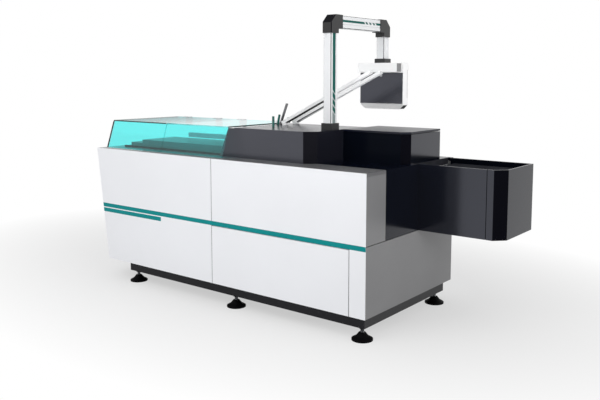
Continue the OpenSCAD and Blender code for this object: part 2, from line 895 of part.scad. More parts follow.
// Case with chamfered lower corners, a seat for the screen and the swivel pin on top
module panel_case() {
    bottom = case_top - case_h;
    pin_l = flange_t - swivel_web - 2 * swivel_gap;
    color(white) machine() {
        difference() {
            intersection() {
                translate([-arm_x, 0, 0]) along_y(case_y, case_y + case_d) polygon([
                    [-case_w / 2, case_top], [-case_w / 2, bottom + case_cham],
                    [case_cham - case_w / 2, bottom], [case_w / 2 - case_cham, bottom],
                    [case_w / 2, bottom + case_cham], [case_w / 2, case_top]
                ]);
                along_x(-arm_x - case_w, -arm_x + case_w) polygon([
                    [case_y, case_top], [case_y, bottom + case_under],
                    [case_y + case_under_d, bottom], [case_y + case_d, bottom],
                    [case_y + case_d, case_top]
                ]);
            }
            screen_plate(eps);
        }
        translate([-arm_x, axis_y, case_top - eps])
            cylinder(r = swivel_r, h = pin_l + swivel_gap + eps);
    }
}

// The screen's outline on the case's far side, drawn out by a given extra depth
module screen_plate(extra) {
    screen_z = case_top - (case_h - case_cham - screen_h) / 2;
    y0 = case_y + case_d - screen_seat;
    block([-arm_x - screen_w / 2, y0, screen_z - screen_h],
        [-arm_x + screen_w / 2, y0 + screen_t + extra, screen_z]);
}

module panel_screen() {
    color(black) machine() screen_plate(0);
}

plinth();
feet_front();
feet_rear();
bottom_plate();
front_panel_left();
front_panel_right();
front_door();
front_stripe_long();
front_stripe_short();
left_end_panel();
rear_panels();
end_panel_lower();
end_columns();
end_panel_dark();
deck_strip();
deck_plate();
main_housing();
guard_end_plate();
rear_housing();
rear_housing_lid();
infeed_front_wall();
infeed_corner_cap();
infeed_rear_wall();
infeed_bed();
infeed_belt();
track_bed();
track_slab();
pusher_bar();
guard_rear_pane();
guard_hinge_feet();
guard_left_front();
guard_left_top();
guard_left_end();
guard_left_hinges();
guard_right_front();
guard_right_top();
guard_right_hinges();
magazine_rail_near();
magazine_rail_far();
magazine_seat();
guide_pins();
carton_levers();
arm_base();
arm_post();
arm_elbow_near();
arm_beam();
arm_elbow_far();
arm_drop_post();
arm_flange();
panel_head();
panel_back_cover();
panel_case();
panel_screen();
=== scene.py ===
import json
import math

import bmesh
import bpy
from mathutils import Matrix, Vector


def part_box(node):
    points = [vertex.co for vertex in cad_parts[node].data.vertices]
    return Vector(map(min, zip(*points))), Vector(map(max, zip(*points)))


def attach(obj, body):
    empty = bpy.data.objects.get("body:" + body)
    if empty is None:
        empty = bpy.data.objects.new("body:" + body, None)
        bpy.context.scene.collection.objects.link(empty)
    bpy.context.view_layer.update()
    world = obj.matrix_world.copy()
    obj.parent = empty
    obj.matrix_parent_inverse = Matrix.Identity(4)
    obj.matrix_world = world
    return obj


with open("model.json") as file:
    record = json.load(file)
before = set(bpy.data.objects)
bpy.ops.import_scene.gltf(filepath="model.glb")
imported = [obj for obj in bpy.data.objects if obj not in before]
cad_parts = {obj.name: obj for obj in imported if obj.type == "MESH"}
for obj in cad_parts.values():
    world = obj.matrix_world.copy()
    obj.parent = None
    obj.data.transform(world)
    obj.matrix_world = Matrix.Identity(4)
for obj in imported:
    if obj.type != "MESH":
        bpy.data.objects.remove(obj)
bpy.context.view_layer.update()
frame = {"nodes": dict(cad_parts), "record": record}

MM = 0.001
X = Vector((1, 0, 0))
Y = Vector((0, 1, 0))
Z = Vector((0, 0, 1))
LEFT = (-1, 0, 0)
RIGHT = (1, 0, 0)
AHEAD = (0, -1, 0)
UP = (0, 0, 1)
WHITE = (1, 1, 1, 1)

# Camera, solved from the edges of the cabinet in the photograph
CAMERA_AT = (2.9583, -3.70395, 1.4380)
CAMERA_TURN = math.radians(38.198)
CAMERA_DOWN = math.radians(6.140)
CAMERA_LENS = 43.294
CAMERA_SENSOR = 36.0
CAMERA_SHIFT = -0.0752

# Light: the sky's strength, then each lamp's place, aim, width and power
SKY_LIGHT = 0.68
KEY_AT = (-0.4, -3.2, 3.3)
KEY_AIM = (0, 0, 0.6)
KEY_SIZE = 2.4
KEY_POWER = 44.0
FILL_AT = (4.6, -1.2, 3.0)
FILL_AIM = (0, 0, 0.7)
FILL_SIZE = 3.0
FILL_POWER = 20.0
UPPER_AT = (3.4, -1.8, 2.2)
UPPER_AIM = (0.35, 0.25, 1.45)
UPPER_SIZE = 1.2
UPPER_POWER = 4.0
UPPER_SPREAD = math.radians(40)

# Floor: a painted shadow, a soft grey oval around the part, white further out
FLOOR_RADIUS = 7.0
FLOOR_SEGMENTS = 96
FLOOR_DARK = (0.92, 0.92, 0.925, 1)
FLOOR_PALE = (0.95, 0.95, 0.95, 1)
FLOOR_ROUGH = 0.7
FLOOR_GLOSS = 0.1
FLOOR_OVAL = (0.62, 1, 0)
FLOOR_SHIFT = (0.28, -0.4, 0)
FLOOR_NEAR = 0.95
FLOOR_FAR = 2.1
FLOOR_SHADOW_TONE = 0.8
FLOOR_PLAIN = 0.68

# Sizes that repeat the solids', in metres
GROOVE_T = 3 * MM
GROOVE_W = 30 * MM
BEAM_GROOVE_W = 14 * MM
BEAM_GROOVE_UP = 7 * MM
BEAM_LINE_W = 4 * MM
BEAM_LINE_DOWN = 13 * MM
RAIL_SLOPE = math.radians(25.9)
RAIL_H = 20 * MM
RAIL_W = 32 * MM
SEAT_L = 30 * MM
PIN_H = 66 * MM
PIN_LEAN = math.radians(14)
PIN_R = 6 * MM
HINGE_W = 50 * MM
HINGE_T = 3 * MM
FOOT_D = 120 * MM
HUB_TOP = 43 * MM
NUT_H = 14 * MM
STEM_D = 20 * MM
PANEL_T = 20 * MM
CASE_CHAM = 30 * MM
CASE_UNDER_D = 14 * MM
GUARD_SET = 62 * MM
GUARD_RISE = 186 * MM
FRONT_LEAN = math.atan2(GUARD_SET, GUARD_RISE)
PANE_T = 8 * MM
PANE_DEPTH = PANE_T / math.cos(FRONT_LEAN)

# Small pieces: how far they reach into the face below, and the steps of a rounded edge
SINK = 0.2 * MM
EDGE_STEPS = 2


# Node helpers

NOISE_LOW = 0.3
NOISE_HIGH = 0.7
CHAMFER_FROM = 1.1
CHAMFER_TO = 1.3
FACING_FROM = 0.75
FACING_TO = 0.9


def add(tree, kind, inputs=None, **settings):
    """A new shader node; inputs maps its sockets to values or to other sockets."""
    made = tree.nodes.new(kind)
    for name, value in settings.items():
        setattr(made, name, value)
    for name, value in (inputs or {}).items():
        if isinstance(value, bpy.types.NodeSocket):
            tree.links.new(value, made.inputs[name])
        else:
            made.inputs[name].default_value = value
    return made


def calc(tree, operation, first, second=0.0):
    return add(tree, "ShaderNodeMath", {0: first, 1: second}, operation=operation).outputs[0]


def remap(tree, value, low, high, new_low, new_high):
    made = add(tree, "ShaderNodeMapRange", {
        "Value": value, "From Min": low, "From Max": high, "To Min": new_low, "To Max": new_high})
    return made.outputs["Result"]


def spread(tree, value, low, high):
    """A noise value brought to a range, from the part of its own range that it fills most."""
    return remap(tree, value, NOISE_LOW, NOISE_HIGH, low, high)


def mix(tree, factor, first, second):
    return add(tree, "ShaderNodeMix", {0: factor, 6: first, 7: second}, data_type="RGBA").outputs[2]


def noise(tree, place, scale, detail=2.0):
    made = add(tree, "ShaderNodeTexNoise", {"Vector": place, "Scale": scale, "Detail": detail})
    return made.outputs["Fac"]


def stretch(tree, place, scale):
    return add(tree, "ShaderNodeMapping", {"Vector": place, "Scale": scale}).outputs["Vector"]


def bump(tree, height, strength, distance):
    made = add(tree, "ShaderNodeBump", {"Height": height, "Strength": strength, "Distance": distance})
    return made.outputs["Normal"]


def dot(tree, vector, direction):
    made = add(tree, "ShaderNodeVectorMath", {0: vector, 1: direction}, operation="DOT_PRODUCT")
    return made.outputs["Value"]


def shade(colour, factor):
    return (*(channel * factor for channel in colour), 1.0)


def new_material(name):
    made = bpy.data.materials.new(name)
    made.use_nodes = True
    tree = made.node_tree
    place = add(tree, "ShaderNodeTexCoord").outputs
    return made, tree, tree.nodes["Principled BSDF"], place


def askew(tree, normal):
    """0 on faces square to the axes and 1 on chamfers, from the object's own normals."""
    size = add(tree, "ShaderNodeVectorMath", {0: normal}, operation="ABSOLUTE").outputs["Vector"]
    return remap(tree, dot(tree, size, (1, 1, 1)), CHAMFER_FROM, CHAMFER_TO, 0, 1)


def toward(tree, normal, direction, other, level):
    """level on the faces that look in a direction, and other on the rest."""
    return remap(tree, dot(tree, normal, direction), FACING_FROM, FACING_TO, other, level)


# Materials

# Painted reflection: these chamfer colours, with a low gloss, stand in for the dark surroundings that
# chamfers mirror
DARK_CHAMFER_REFLECTION = (0.002, 0.002, 0.004)
SLATE_CHAMFER_REFLECTION = (0.008, 0.008, 0.011)
PALE_CHAMFER_REFLECTION = (0.015, 0.017, 0.02)
CHAMFER_REFLECTION_GLOSS = 0.03
# Painted reflection tint: a cool blue on the gloss of the dark paints, standing in for bluish light in
# their reflections
COOL_SHEEN = (0.86, 0.88, 1.0)
GLOSS_SPREAD = 0.03
FINE_DEPTH = 0.05 * MM
COARSE_DEPTH = 0.15 * MM

LINE_SHARE = 0.7
BRUSH_DARK = 0.86
BRUSH_PALE = 1.12
BRUSH_SPREAD = 0.06

# The wave texture's phase grows by this much for each unit of length and scale
WAVE_RATE = 20
WEAVE_DARK = 0.8
WEAVE_PALE = 1.3
WEAVE_ROUGH = (0.7, 0.55)
WEAVE_DEPTH = 0.2 * MM

GLASS_TINT = (0.36, 0.955, 0.955)
GLASS_RIM = (0.006, 0.04, 0.036)
CLEAR_TINT = (0.985, 0.998, 0.997)
# Painted reflection: over this run of x the top panes' mirror gloss is tinted dark towards the guard's
# left end
MIRROR_FADE_RUN = (-1.4, -0.6)
PAINTED_MIRROR_FADE = (0.02, 0.16, 0.18)
VEIL_LEAST = 0.985
MIRROR_LEAST = 0.045
MIRROR_POWER = 5.0
PANE_ROUGH = (0.02, 0.05)
RIM_ROUGH = 0.15
SIDE_FACING = 0.9
RIM_FACING = 0.8

SCREEN_BORDER = 14 * MM
SCREEN_EDGE = (0.006, 0.006, 0.007, 1)
SCREEN_FACE = (0.02, 0.024, 0.028, 1)
SCREEN_ROUGH = (0.06, 0.1)
SCREEN_DULL = 0.1


def coat(name, colour, rough, specular=0.5, mottle=0.05, grain=900.0, depth=FINE_DEPTH,
         corner=None, front=None, top=None, sheen=None):
    """Paint or moulded plastic: faint clouds in the colour, a fine grain and uneven gloss.

    corner is the colour of the chamfers, a painted reflection: darker and duller, it stands in for
    the dark surroundings they mirror. front and top are gloss levels painted on the faces that look
    to the front and up, where they differ from the rest, making those reflections stronger or weaker.
    sheen is a painted tint of the gloss, a cool colour standing in for the light's."""
    made, tree, shader, place = new_material(name)
    clouds = noise(tree, place["Object"], scale=2.6, detail=4.0)
    specks = noise(tree, place["Object"], grain)
    tint = mix(tree, spread(tree, clouds, 0, 1), shade(colour, 1 - mottle), shade(colour, 1 + mottle))
    gloss = spread(tree, specks, rough - GLOSS_SPREAD, rough + GLOSS_SPREAD)
    shader.inputs["Specular IOR Level"].default_value = specular
    if sheen:
        shader.inputs["Specular Tint"].default_value = shade(sheen, 1)
    level = specular
    # Painted reflection: faces that look to the front or up get a gloss level of their own, so their
    # reflections are stronger or weaker than the rest's
    if front is not None:
        level = toward(tree, place["Normal"], AHEAD, level, front)
    if top is not None:
        level = toward(tree, place["Normal"], UP, level, top)
    # Painted reflection: chamfers take a dark colour and a low gloss in place of the dark surroundings
    # they mirror
    if corner:
        edge = askew(tree, place["Normal"])
        tint = mix(tree, edge, tint, shade(corner, 1))
        level = remap(tree, edge, 0, 1, level, CHAMFER_REFLECTION_GLOSS)
    if level != specular:
        tree.links.new(level, shader.inputs["Specular IOR Level"])
    tree.links.new(tint, shader.inputs["Base Color"])
    tree.links.new(gloss, shader.inputs["Roughness"])
    tree.links.new(bump(tree, specks, strength=0.15, distance=depth), shader.inputs["Normal"])
    return made


def brushed(name, colour, rough, streaks, metallic=1.0, specular=0.5):
    """Metal with fine brush lines along the axis whose scale is least."""
    made, tree, shader, place = new_material(name)
    lines = noise(tree, stretch(tree, place["Object"], streaks), scale=1.0, detail=3.0)
    clouds = noise(tree, place["Object"], scale=5.0, detail=3.0)
    streaky = calc(tree, "MULTIPLY", lines, LINE_SHARE)
    cloudy = calc(tree, "MULTIPLY", clouds, 1 - LINE_SHARE)
    tone = spread(tree, calc(tree, "ADD", streaky, cloudy), 0, 1)
    tint = mix(tree, tone, shade(colour, BRUSH_DARK), shade(colour, BRUSH_PALE))
    gloss = spread(tree, lines, rough - BRUSH_SPREAD, rough + BRUSH_SPREAD)
    shader.inputs["Metallic"].default_value = metallic
    shader.inputs["Specular IOR Level"].default_value = specular
    tree.links.new(tint, shader.inputs["Base Color"])
    tree.links.new(gloss, shader.inputs["Roughness"])
    tree.links.new(bump(tree, lines, strength=0.12, distance=FINE_DEPTH), shader.inputs["Normal"])
    return made


def woven(name, colour, thread):
    """Belt face: a close plain weave under a dull rubber skin."""
    made, tree, shader, place = new_material(name)
    wave = {"Vector": place["Object"], "Scale": 1 / thread / WAVE_RATE, "Distortion": 0.4}
    bands = [add(tree, "ShaderNodeTexWave", wave, bands_direction=way).outputs["Fac"] for way in "XY"]
    weave = calc(tree, "MAXIMUM", *bands)
    clouds = noise(tree, place["Object"], scale=9.0, detail=4.0)
    tint = mix(tree, spread(tree, clouds, 0, 1), shade(colour, WEAVE_DARK), shade(colour, WEAVE_PALE))
    shader.inputs["Specular IOR Level"].default_value = 0.0
    tree.links.new(tint, shader.inputs["Base Color"])
    tree.links.new(remap(tree, weave, 0, 1, *WEAVE_ROUGH), shader.inputs["Roughness"])
    tree.links.new(bump(tree, weave, strength=0.4, distance=WEAVE_DEPTH), shader.inputs["Normal"])
    return made


def glass(name, tint, rim_sides=(), mirror_fade=None):
    """A pane seen through with a tint at each face and mirror gloss by Fresnel.

    rim_sides are the directions whose edge faces have the dark colour of cut glass; where there are
    any, the other edges at the pane's ends are clear. The tint given last is a painted reflection: it
    darkens the mirror gloss towards the guard's left end. The image of the pane in glossy paint is
    clear."""
    made, tree, shader, place = new_material(name)
    clouds = spread(tree, noise(tree, place["Object"], scale=3.0, detail=3.0), 0, 1)
    veil = mix(tree, clouds, shade(tint, 1), shade(tint, VEIL_LEAST))
    glossy = add(tree, "ShaderNodeLightPath").outputs["Is Glossy Ray"]
    sideways = calc(tree, "ABSOLUTE", dot(tree, place["Normal"], RIGHT))
    slant = add(tree, "ShaderNodeLayerWeight", {"Blend": 0.5}).outputs["Facing"]
    rise = calc(tree, "MULTIPLY", calc(tree, "POWER", slant, MIRROR_POWER), 1 - MIRROR_LEAST)
    mirror = calc(tree, "ADD", rise, MIRROR_LEAST)
    bare = glossy
    if rim_sides:
        bare = calc(tree, "MAXIMUM", glossy, calc(tree, "GREATER_THAN", sideways, SIDE_FACING))
        mirror = calc(tree, "MULTIPLY", mirror, calc(tree, "LESS_THAN", sideways, SIDE_FACING))
    veil = mix(tree, bare, veil, WHITE)
    clear = add(tree, "ShaderNodeBsdfTransparent", {"Color": veil}).outputs[0]
    shader.inputs["Metallic"].default_value = 1.0
    # Painted reflection: the mirror gloss darkens towards the left end
    if mirror_fade:
        along = add(tree, "ShaderNodeSeparateXYZ", {"Vector": place["Object"]}).outputs["X"]
        tone = mix(tree, remap(tree, along, *MIRROR_FADE_RUN, 0, 1), shade(mirror_fade, 1), WHITE)
        tree.links.new(tone, shader.inputs["Base Color"])
        tree.links.new(tone, shader.inputs["Specular Tint"])
    else:
        shader.inputs["Base Color"].default_value = WHITE
    tree.links.new(remap(tree, clouds, 0, 1, *PANE_ROUGH), shader.inputs["Roughness"])
    pane = add(tree, "ShaderNodeMixShader", {0: mirror, 1: clear, 2: shader.outputs[0]}).outputs[0]
    if rim_sides:
        inside = add(tree, "ShaderNodeNewGeometry").outputs["Backfacing"]
        outward = remap(tree, inside, 0, 1, 1, -1)
        dark = 0.0
        for side in rim_sides:
            facing = calc(tree, "MULTIPLY", dot(tree, place["Normal"], side), outward)
            dark = calc(tree, "MAXIMUM", dark, calc(tree, "GREATER_THAN", facing, RIM_FACING))
        dark = calc(tree, "MULTIPLY", dark, calc(tree, "SUBTRACT", 1.0, glossy))
        look = {"Base Color": shade(GLASS_RIM, 1), "Roughness": RIM_ROUGH}
        rim = add(tree, "ShaderNodeBsdfPrincipled", look).outputs[0]
        pane = add(tree, "ShaderNodeMixShader", {0: dark, 1: pane, 2: rim}).outputs[0]
    tree.links.new(pane, tree.nodes["Material Output"].inputs["Surface"])
    return made


def display(name):
    """The dark screen: a glossy border and a slightly paler, duller picture area."""
    made, tree, shader, place = new_material(name)
    low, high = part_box("panel_screen")
    middle = (low + high) / 2
    parts = add(tree, "ShaderNodeSeparateXYZ", {"Vector": place["Object"]}).outputs
    inside = 1.0
    for axis in (0, 2):
        away = calc(tree, "ABSOLUTE", calc(tree, "SUBTRACT", parts[axis], middle[axis]))
        half = (high[axis] - low[axis]) / 2 - SCREEN_BORDER
        inside = calc(tree, "MULTIPLY", inside, calc(tree, "LESS_THAN", away, half))
    clouds = noise(tree, place["Object"], scale=8.0, detail=3.0)
    dull = calc(tree, "MULTIPLY", inside, SCREEN_DULL)
    gloss = calc(tree, "ADD", spread(tree, clouds, *SCREEN_ROUGH), dull)
    tree.links.new(mix(tree, inside, SCREEN_EDGE, SCREEN_FACE), shader.inputs["Base Color"])
    tree.links.new(gloss, shader.inputs["Roughness"])
    return made


white_paint = coat("white_paint", (0.84, 0.85, 0.88), 0.34, mottle=0.012)
# A brighter copy of white_paint: painted light on the control panel's head and case
lit_white_paint = coat("lit_white_paint", (0.92, 0.92, 0.925), 0.34, mottle=0.012)
teal_paint = coat("teal_paint", (0.003, 0.24, 0.245), 0.5, specular=0.1, mottle=0.04)
grey_paint = coat("grey_paint", (0.205, 0.205, 0.21), 0.36)
# slate_paint, black_gloss, rear_black and dark_frame carry painted reflections: gloss levels of their
# own on the front and top faces, and for the first three dark chamfers. rear_black is nearly black_gloss
# with other painted gloss levels
slate_paint = coat("slate_paint", (0.01, 0.0105, 0.016), 0.22, specular=0.35, mottle=0.12,
                   corner=SLATE_CHAMFER_REFLECTION, front=0.98, sheen=COOL_SHEEN)
lid_slate = coat("lid_slate", (0.003, 0.004, 0.012), 0.3, specular=0.3, mottle=0.12)
black_gloss = coat("black_gloss", (0.002, 0.003, 0.007), 0.15, specular=0.25, mottle=0.12,
                   corner=DARK_CHAMFER_REFLECTION, front=0.85, top=0.06, sheen=COOL_SHEEN)
rear_black = coat("rear_black", (0.002, 0.003, 0.006), 0.15, specular=0.6, mottle=0.12,
                  corner=DARK_CHAMFER_REFLECTION, front=0.03, top=0.06, sheen=COOL_SHEEN)
dark_frame = coat("dark_frame", (0.012, 0.012, 0.014), 0.45, specular=0.35, mottle=0.15,
                  grain=600.0, front=0.12)
track_paint = coat("track_paint", (0.165, 0.165, 0.17), 0.35, mottle=0.1)
foot_black = coat("foot_black", (0.003, 0.003, 0.0035), 0.5, specular=0.04, mottle=0.2,
                  grain=500.0, depth=COARSE_DEPTH)
joint_plastic = coat("joint_plastic", (0.012, 0.012, 0.013), 0.36, mottle=0.1,
                     grain=450.0, depth=COARSE_DEPTH, corner=DARK_CHAMFER_REFLECTION)
green_pin = coat("green_pin", (0.004, 0.11, 0.09), 0.2, specular=0.7, mottle=0.1)
white_aluminium = coat("white_aluminium", (0.74, 0.75, 0.765), 0.28, mottle=0.015, corner=PALE_CHAMFER_REFLECTION)
rail_white = coat("rail_white", (0.93, 0.935, 0.945), 0.3, mottle=0.015)
deck_steel = brushed("deck_steel", (0.13, 0.13, 0.135), 0.3, (3, 500, 500), metallic=0.0, specular=0.8)
steel = brushed("steel", (0.42, 0.43, 0.45), 0.28, (6, 400, 400))
pale_steel = brushed("pale_steel", (0.8, 0.81, 0.82), 0.3, (6, 400, 400))
lever_steel = brushed("lever_steel", (0.2, 0.2, 0.21), 0.3, (400, 400, 8))
belt_rubber = woven("belt_rubber", (0.026, 0.027, 0.032), 1.6 * MM)
screen = display("screen")
lean_up = (0, math.sin(FRONT_LEAN), math.cos(FRONT_LEAN))
front_glass_left = glass("front_glass_left", GLASS_TINT, (LEFT, lean_up))
front_glass_right = glass("front_glass_right", GLASS_TINT, (lean_up,))
top_glass_left = glass("top_glass_left", GLASS_TINT, (LEFT, AHEAD), PAINTED_MIRROR_FADE)
top_glass_right = glass("top_glass_right", GLASS_TINT, (RIGHT,), PAINTED_MIRROR_FADE)
clear_glass = glass("clear_glass", CLEAR_TINT)

# The material of each slot, and of the nodes that differ from their slot's
SLOT_MATERIAL = {
    "white_paint": white_paint, "teal_paint": teal_paint, "grey_paint": grey_paint,
    "slate_paint": slate_paint, "black_gloss": black_gloss, "dark_frame": dark_frame,
    "foot_black": foot_black, "belt_rubber": belt_rubber, "joint_plastic": joint_plastic,
    "green_pin": green_pin, "white_aluminium": white_aluminium, "deck_steel": deck_steel,
    "steel": steel, "screen": screen, "clear_glass": clear_glass,
}
NODE_MATERIAL = {
    "guard_left_front": front_glass_left, "guard_right_front": front_glass_right,
    "guard_left_top": top_glass_left, "guard_right_top": top_glass_right,
    "guard_left_hinges": pale_steel, "guard_right_hinges": pale_steel,
    "rear_housing": rear_black, "rear_housing_lid": lid_slate, "infeed_rear_wall": rear_black,
    "track_bed": track_paint, "track_slab": track_paint,
    "magazine_rail_near": rail_white, "magazine_rail_far": rail_white, "magazine_seat": rail_white,
    "carton_levers": lever_steel, "panel_head": lit_white_paint, "panel_case": lit_white_paint,
}
for part in frame["record"]["subparts"]:
    name = part["node"]
    mesh = frame["nodes"][name].data
    mesh.materials.clear()
    mesh.materials.append(NODE_MATERIAL.get(name) or SLOT_MATERIAL[part["material_slot"]])


# Mesh helpers

def prism(bm, outline, push):
    """A flat outline drawn along push."""
    low = [bm.verts.new(point) for point in outline]
    high = [bm.verts.new(Vector(point) + push) for point in outline]
    bm.faces.new(low)
    bm.faces.new(high)
    for i in range(len(outline)):
        bm.faces.new((low[i - 1], low[i], high[i], high[i - 1]))


def plate(bm, corner, first, second, push):
    """A flat plate from one corner, spanned by its two sides and as thick as push."""
    prism(bm, [corner, corner + first, corner + first + second, corner + second], push)


def lathe(bm, profile, origin, axis, steps):
    """A profile of (radius, height) points turned about an axis, with flat ends."""
    turn = axis.to_track_quat("Z", "Y").to_matrix()
    rings = []
    for radius, height in profile:
        around = [2 * math.pi * i / steps for i in range(steps)]
        points = [Vector((radius * math.cos(a), radius * math.sin(a), height)) for a in around]
        rings.append([bm.verts.new(origin + turn @ point) for point in points])
    for lower, upper in zip(rings, rings[1:]):
        for i in range(steps):
            bm.faces.new((lower[i - 1], lower[i], upper[i], upper[i - 1]))
    bm.faces.new(rings[0])
    bm.faces.new(rings[-1])


def piece(name, bm, material, body, soft=0.0):
    """A finished piece from a bmesh, with its material and body; soft rounds its edges."""
    bmesh.ops.recalc_face_normals(bm, faces=bm.faces)
    mesh = bpy.data.meshes.new(name)
    bm.to_mesh(mesh)
    bm.free()
    mesh.materials.append(material)
    made = bpy.data.objects.new(name, mesh)
    bpy.context.scene.collection.objects.link(made)
    if soft:
        edge = made.modifiers.new("edge", "BEVEL")
        edge.width = soft
        edge.segments = EDGE_STEPS
        edge.limit_method = "ANGLE"
    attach(made, body)


# Inlays in the grooves of the arm

def strip(bm, along, across, centre, width, start, end, push, cut_start=True, cut_end=True):
    """A flat strip along a groove from start to end, its ends cut at 45 degrees or square."""
    half = width / 2
    lean_a = half if cut_start else 0.0
    lean_b = half if cut_end else 0.0
    corners = [
        centre + along * (start - lean_a) + across * half,
        centre + along * (start + lean_a) - across * half,
        centre + along * (end + lean_b) - across * half,
        centre + along * (end - lean_b) + across * half,
    ]
    prism(bm, corners, push)


INLAY_T = 2 * MM
INLAY_SOFT = 0.3 * MM
POST_DASHES = (1348.6 * MM, 1305 * MM, 1265 * MM, 1225 * MM)
POST_DASH_H = 9 * MM
BEAM_SOLID = (-45.75 * MM, 207.25 * MM)
BEAM_DOTS = (233.25 * MM, 274.25 * MM, 316.25 * MM)
BEAM_DOT_L = 17 * MM
BEAM_TAIL = (344.25 * MM, 390.25 * MM)

inlay_teal = coat("inlay_teal", (0.003, 0.09, 0.075), 0.45, specular=0.15, mottle=0.06)
inlay_grey = coat("inlay_grey", (0.2, 0.25, 0.25), 0.4, mottle=0.06)
inlay_pale = coat("inlay_pale", (0.6, 0.61, 0.62), 0.4, mottle=0.04)

post_low, post_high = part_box("arm_post")
beam_low, beam_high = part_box("arm_beam")
for side, word in ((1, "right"), (-1, "left")):
    push = X * side * (INLAY_T + SINK)
    face_x = post_high.x if side > 0 else post_low.x
    floor_x = face_x - side * (GROOVE_T + SINK)
    centre = Vector((floor_x, (post_low.y + post_high.y) / 2, 0))
    bm = bmesh.new()
    top = post_high.z
    for dash in POST_DASHES:
        strip(bm, Z, Y, centre, GROOVE_W, dash + POST_DASH_H / 2, top, push, True, top != post_high.z)
        top = dash - POST_DASH_H / 2
    piece("post_inlay_" + word, bm, inlay_teal, "base", INLAY_SOFT)
    bm = bmesh.new()
    strip(bm, Z, Y, centre, GROOVE_W, post_low.z, top, push, False, True)
    piece("post_cover_" + word, bm, inlay_grey, "base", INLAY_SOFT)

    middle = (beam_low.z + beam_high.z) / 2
    centre = Vector((floor_x, 0, middle + BEAM_GROOVE_UP))
    bm = bmesh.new()
    strip(bm, Y, Z, centre, BEAM_GROOVE_W, *BEAM_SOLID, push, False, True)
    for spot in BEAM_DOTS:
        strip(bm, Y, Z, centre, BEAM_GROOVE_W, spot - BEAM_DOT_L / 2, spot + BEAM_DOT_L / 2, push)
    strip(bm, Y, Z, centre, BEAM_GROOVE_W, *BEAM_TAIL, push, True, False)
    piece("beam_inlay_" + word, bm, inlay_teal, "base", INLAY_SOFT)
    bm = bmesh.new()
    centre.z = middle - BEAM_LINE_DOWN
    strip(bm, Y, Z, centre, BEAM_LINE_W, BEAM_SOLID[0], BEAM_TAIL[1], push, False, False)
    piece("beam_line_" + word, bm, inlay_pale, "base")


# Seals in the gaps between the front panels, parted where the stripe runs across

SEAL_SINK = 0.6 * MM
SEAL_T = 8 * MM
SEAL_LIP = 0.8 * MM

seal_black = coat("seal_black", (0.005, 0.005, 0.006), 0.6, specular=0.05, mottle=0.2, grain=600.0)
left_low, left_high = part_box("front_panel_left")
door_low, door_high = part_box("front_door")
stripe_low, stripe_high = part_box("front_stripe_long")
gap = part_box("front_panel_right")[0].x - left_high.x


def seal(bm, x, low, high):
    """A strip with bevelled shoulders, from height low to high, in a gap that starts at x."""
    face = left_low.y + SEAL_SINK
    outline = [Vector((x, face + SEAL_T, low)), Vector((x + gap, face + SEAL_T, low)),
               Vector((x + gap, face + SEAL_LIP, low)), Vector((x + gap - SEAL_LIP, face, low)),
               Vector((x + SEAL_LIP, face, low)), Vector((x, face + SEAL_LIP, low))]
    prism(bm, outline, Z * (high - low))


bm = bmesh.new()
seal(bm, left_high.x, left_low.z, stripe_low.z - SEAL_SINK)
seal(bm, left_high.x, stripe_high.z + SEAL_SINK, left_high.z - SEAL_SINK)
seal(bm, door_high.x, door_low.z, stripe_low.z - SEAL_SINK)
piece("panel_seals", bm, seal_black, "base")


# Control panel: lock on the back cover, and grey end caps on the head box that are painted shade on its
# end faces

LOCK_UP = 1449.6 * MM
LOCK_R = 10 * MM
LOCK_H = 3 * MM
LOCK_EDGE = 1 * MM
LOCK_RIM = 3 * MM
LOCK_SLOPE = 0.5 * MM
LOCK_WELL = 1.5 * MM
LOCK_CORE = 0.5 * MM
CAP_T = 2 * MM
CAP_INSET = 3 * MM
CAP_SOFT = 0.8 * MM

cover_low, cover_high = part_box("panel_back_cover")
lock_at = Vector(((cover_low.x + cover_high.x) / 2, cover_low.y, LOCK_UP))
lock = [(LOCK_R, -SINK), (LOCK_R, LOCK_H - LOCK_EDGE), (LOCK_R - LOCK_EDGE, LOCK_H),
        (LOCK_R - LOCK_RIM, LOCK_H), (LOCK_R - LOCK_RIM - LOCK_SLOPE, LOCK_WELL), (LOCK_CORE, LOCK_WELL)]
bm = bmesh.new()
lathe(bm, lock, lock_at, -Y, steps=32)
piece("panel_lock", bm, steel, "control_panel")

head_low, head_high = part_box("panel_head")
wide = Y * (head_high.y - head_low.y - 2 * CAP_INSET)
tall = Z * (head_high.z - head_low.z - 2 * CAP_INSET)
# Grey end plates: painted shade on the head box's end faces
bm = bmesh.new()
for x, side in ((head_low.x, -1), (head_high.x, 1)):
    corner = Vector((x, head_low.y + CAP_INSET, head_low.z + CAP_INSET))
    plate(bm, corner, wide, tall, X * side * CAP_T)
piece("panel_head_shade_caps", bm, grey_paint, "control_panel", CAP_SOFT)


# Control panel: rubber pads on the chamfers of the case's lower corners

PAD_INSET = 4 * MM
PAD_T = 1.5 * MM
PAD_SOFT = 0.5 * MM

pad_rubber = coat("pad_rubber", (0.02, 0.02, 0.021), 0.6, specular=0.1, mottle=0.1, grain=600.0)
case_low, case_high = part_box("panel_case")
near = case_low.y + CASE_UNDER_D + PAD_INSET
wide = Y * (case_high.y - PAD_INSET - near)
bm = bmesh.new()
for x, side in ((case_low.x, -1), (case_high.x, 1)):
    upper = Vector((x - side * PAD_INSET, near, case_low.z + CASE_CHAM - PAD_INSET))
    lower = Vector((x - side * (CASE_CHAM - PAD_INSET), near, case_low.z + PAD_INSET))
    plate(bm, upper, wide, lower - upper, (X * side - Z).normalized() * PAD_T)
piece("panel_pads", bm, pad_rubber, "control_panel", PAD_SOFT)


# Control panel: gasket line between the two shells of the case, on both sides

GASKET_BACK = 57 * MM
GASKET_W = 2.5 * MM
GASKET_T = 0.4 * MM
GASKET_LOW = 72 * MM
GASKET_HIGH = 260 * MM

